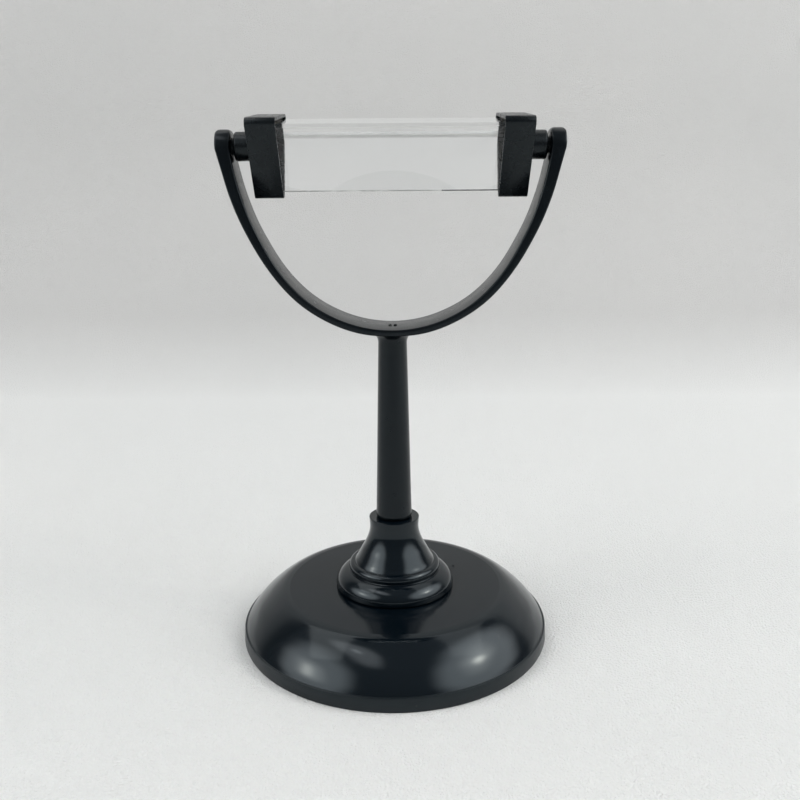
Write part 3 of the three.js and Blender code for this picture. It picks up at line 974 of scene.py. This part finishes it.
def fade_outwards(light, core):
    """Makes a soft box brightest in its middle: full inside core, fading to nothing at its edge."""
    light.use_nodes = True
    tree = light.node_tree
    emission = tree.nodes["Emission"]
    # Parametric runs from 0 to 1 across the lamp; the two steps centre it and flatten it
    spot = tree.nodes.new("ShaderNodeNewGeometry").outputs["Parametric"]
    for operation, operand in (("SUBTRACT", (0.5, 0.5, 0.0)), ("MULTIPLY", (1.0, 1.0, 0.0))):
        step = tree.nodes.new("ShaderNodeVectorMath")
        step.operation = operation
        step.inputs[1].default_value = operand
        tree.links.new(spot, step.inputs[0])
        spot = step.outputs[0]
    away = tree.nodes.new("ShaderNodeVectorMath")
    away.operation = "LENGTH"
    tree.links.new(spot, away.inputs[0])
    fade = tree.nodes.new("ShaderNodeMapRange")
    fade.interpolation_type = "SMOOTHSTEP"
    fade.inputs["From Min"].default_value = core
    fade.inputs["From Max"].default_value = 0.5
    fade.inputs["To Min"].default_value = 1.0
    fade.inputs["To Max"].default_value = 0.0
    tree.links.new(away.outputs["Value"], fade.inputs["Value"])
    tree.links.new(fade.outputs["Result"], emission.inputs["Strength"])


def area_light(name, azimuth, elevation, distance, spans, radiance, colour, core=None):
    """A soft box of that radiance, seen from the object over spans (wide, high) in degrees."""
    light = bpy.data.lights.new(name, "AREA")
    light.shape = "RECTANGLE"
    light.size, light.size_y = (2 * distance * math.tan(math.radians(span / 2)) for span in spans)
    light.energy = radiance * math.pi * light.size * light.size_y
    light.color = colour
    if core is not None:
        fade_outwards(light, core)
    obj = bpy.data.objects.new(name, light)
    obj.location = from_angles(azimuth, elevation, distance)
    obj.rotation_euler = (-obj.location).to_track_quat("-Z", "Y").to_euler()
    obj.visible_camera = False
    bpy.context.scene.collection.objects.link(obj)
    return obj


COOL, MILD, WARM = (0.97, 0.985, 1.0), (1.0, 0.965, 0.92), (1.0, 0.92, 0.8)
ROSE, PEARL, DAY = (1.0, 0.97, 0.98), (1.0, 0.98, 0.98), (1.0, 0.98, 0.96)
ROOM_COLOUR = (0.90, 0.94, 0.98, 1)
ROOM_LOW, ROOM_HIGH, ROOM_HORIZON = 0.18, 0.32, 0.2
# name, azimuth and elevation in degrees, distance in metres, spans, radiance, colour, core
LIGHTS = [
    ("panel_right", 74, 36, 1.10, (80, 60), 2.5, COOL, 0.25),
    ("glow_right", 76, 40, 1.08, (40, 28), 4.0, MILD, 0.0),
    ("lamp_right", 75, 38, 1.06, (15, 12), 13.0, WARM, 0.0),
    ("panel_left", -66, 32, 1.10, (66, 54), 2.4, COOL, 0.25),
    ("glow_left", -69, 31, 1.08, (36, 22), 3.5, MILD, 0.0),
    ("lamp_left", -71, 30, 1.06, (15, 11), 5.5, WARM, 0.0),
    ("panel_high", -58, 67, 1.20, (46, 18), 1.8, ROSE, 0.25),
    ("tube_high", -60, 67, 1.18, (12, 4), 4.5, PEARL, 0.0),
    ("ceiling_left", -120, 60, 1.40, (60, 22), 1.3, DAY),
    ("ceiling_right", 125, 60, 1.40, (60, 22), 0.9, DAY),
]
WASH = ("backdrop_wash", 180, 87, 0.9, (60, 20), 2.0, COOL)


def build_room():
    """Even light from all round, a little stronger from above."""
    world = bpy.data.worlds.new("soft_room")
    bpy.context.scene.world = world
    world.use_nodes = True
    tree = world.node_tree
    background = tree.nodes["Background"]
    direction = tree.nodes.new("ShaderNodeTexCoord").outputs["Generated"]
    split = tree.nodes.new("ShaderNodeSeparateXYZ")
    tree.links.new(direction, split.inputs[0])
    height = tree.nodes.new("ShaderNodeMapRange")
    height.inputs["From Min"].default_value = ROOM_HORIZON
    height.inputs["From Max"].default_value = 1.0
    height.inputs["To Min"].default_value = ROOM_LOW
    height.inputs["To Max"].default_value = ROOM_HIGH
    tree.links.new(split.outputs["Z"], height.inputs["Value"])
    tree.links.new(height.outputs["Result"], background.inputs["Strength"])
    background.inputs["Color"].default_value = ROOM_COLOUR


def build_lights():
    for row in LIGHTS:
        area_light(*row)
    wash = area_light(*WASH)
    wash.rotation_euler = Vector((0, 1, 0)).to_track_quat("-Z", "Y").to_euler()


def build_camera():
    data = bpy.data.cameras.new("camera")
    data.sensor_width = CAMERA_SENSOR
    data.lens = CAMERA_LENS
    data.clip_start, data.clip_end = CAMERA_CLIP
    camera = bpy.data.objects.new("camera", data)
    camera.location = Vector(CAMERA_AT) * MM
    pitch = Matrix.Rotation(math.radians(90 - CAMERA_PITCH_DEG), 4, "X")
    roll = Matrix.Rotation(math.radians(-CAMERA_ROLL_DEG), 4, "Z")
    camera.rotation_euler = (pitch @ roll).to_euler()
    bpy.context.scene.collection.objects.link(camera)
    bpy.context.scene.camera = camera


build_camera()
build_room()
build_lights()
build_stage()
build_base()
build_collar()
build_stem_yoke()
build_holder(-1, "holder_left_moulding", "holder_left")
build_holder(1, "holder_right_moulding", "holder_right")
build_glass()
finish_cad_nodes()

bpy.context.scene.view_settings.view_transform = "Standard"
